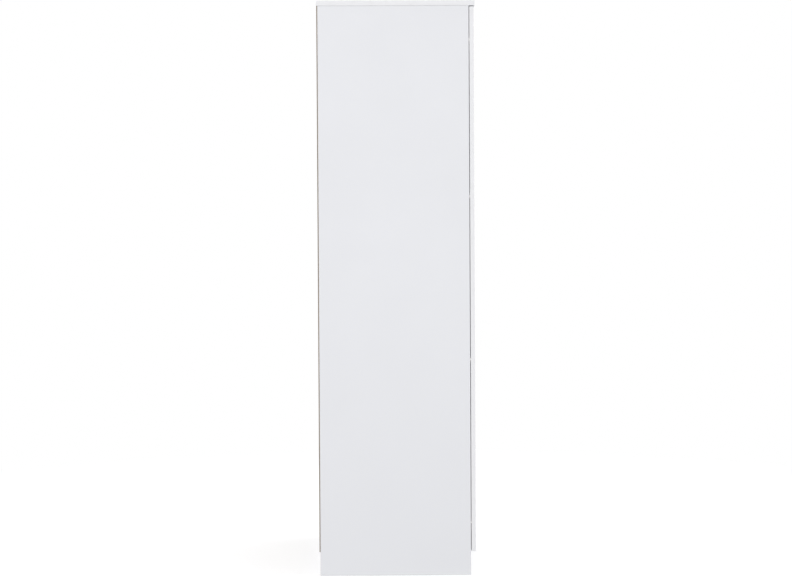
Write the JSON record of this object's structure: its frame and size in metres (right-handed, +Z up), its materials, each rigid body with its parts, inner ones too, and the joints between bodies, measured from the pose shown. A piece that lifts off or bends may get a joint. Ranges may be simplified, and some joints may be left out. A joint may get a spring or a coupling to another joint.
{
  "type": "wardrobe with doors",
  "caption": "Tall white wardrobe with an overhanging top, a plinth, side-hinged full-overlay doors, a hat shelf and a hanging rail.",
  "frame": {"origin": "on the floor, under the centre of the wardrobe's overall box", "axes": "+Z up; the doors face -Y; +X is to the right of a person who stands in front of the doors"},
  "size_m": [0.8, 0.55, 2],
  "materials": {
    "white_board": "satin white melamine on particle board, with matching edge band",
    "hardboard": "brown fibreboard, white foil on its inner face",
    "white_plastic": "extruded white plastic",
    "chrome": "polished chrome plating",
    "hinge_steel": "nickel-plated steel",
    "buffer": "clear soft buffer"
  },
  "bodies": {
    "carcass": {"top_panel": "white_board", "left_side_panel": "white_board", "right_side_panel": "white_board", "bottom_panel": "white_board", "front_plinth": "white_board", "rear_plinth": "white_board", "top_rail": "white_board", "hat_shelf": "white_board", "left_back_panel": "hardboard", "right_back_panel": "hardboard", "back_joint_strip": "white_plastic", "hanging_rail": "chrome", "left_rail_socket": "chrome", "right_rail_socket": "chrome", "left_front_shelf_pin": "hinge_steel", "left_back_shelf_pin": "hinge_steel", "right_front_shelf_pin": "hinge_steel", "right_back_shelf_pin": "hinge_steel", "left_hinge_arm_1": "hinge_steel", "left_hinge_arm_2": "hinge_steel", "left_hinge_arm_3": "hinge_steel", "left_hinge_arm_4": "hinge_steel", "left_hinge_plate_1": "hinge_steel", "left_hinge_plate_2": "hinge_steel", "left_hinge_plate_3": "hinge_steel", "left_hinge_plate_4": "hinge_steel", "right_hinge_arm_1": "hinge_steel", "right_hinge_arm_2": "hinge_steel", "right_hinge_arm_3": "hinge_steel", "right_hinge_arm_4": "hinge_steel", "right_hinge_plate_1": "hinge_steel", "right_hinge_plate_2": "hinge_steel", "right_hinge_plate_3": "hinge_steel", "right_hinge_plate_4": "hinge_steel"},
    "left_door_leaf": {"left_door": "white_board", "left_lower_buffer": "buffer", "left_upper_buffer": "buffer", "left_hinge_cup_1": "hinge_steel", "left_hinge_cup_2": "hinge_steel", "left_hinge_cup_3": "hinge_steel", "left_hinge_cup_4": "hinge_steel"},
    "right_door_leaf": {"right_door": "white_board", "right_lower_buffer": "buffer", "right_upper_buffer": "buffer", "right_hinge_cup_1": "hinge_steel", "right_hinge_cup_2": "hinge_steel", "right_hinge_cup_3": "hinge_steel", "right_hinge_cup_4": "hinge_steel"},
    "left_links": {"left_hinge_link_1": "hinge_steel", "left_hinge_link_2": "hinge_steel", "left_hinge_link_3": "hinge_steel", "left_hinge_link_4": "hinge_steel"},
    "right_links": {"right_hinge_link_1": "hinge_steel", "right_hinge_link_2": "hinge_steel", "right_hinge_link_3": "hinge_steel", "right_hinge_link_4": "hinge_steel"}
  },
  "joints": [
    {"name": "left_door_swing", "type": "hinge", "parent": "carcass", "child": "left_door_leaf", "pos_m": [-0.394, -0.267, 1.0305], "axis": [0, 0, -1], "range_deg": [0, 105]},
    {"name": "left_link_swing", "type": "hinge", "parent": "carcass", "child": "left_links", "pos_m": [-0.38, -0.2595, 1.0225], "axis": [0, 0, -1], "range_deg": [0, 105]},
    {"name": "right_door_swing", "type": "hinge", "parent": "carcass", "child": "right_door_leaf", "pos_m": [0.394, -0.267, 1.0305], "axis": [0, 0, 1], "range_deg": [0, 105]},
    {"name": "right_link_swing", "type": "hinge", "parent": "carcass", "child": "right_links", "pos_m": [0.38, -0.2595, 1.0225], "axis": [0, 0, 1], "range_deg": [0, 105]}
  ],
  "couplings": [
    {"joint": "left_link_swing", "follows": "left_door_swing", "ratio": 1},
    {"joint": "right_link_swing", "follows": "right_door_swing", "ratio": 1}
  ]
}
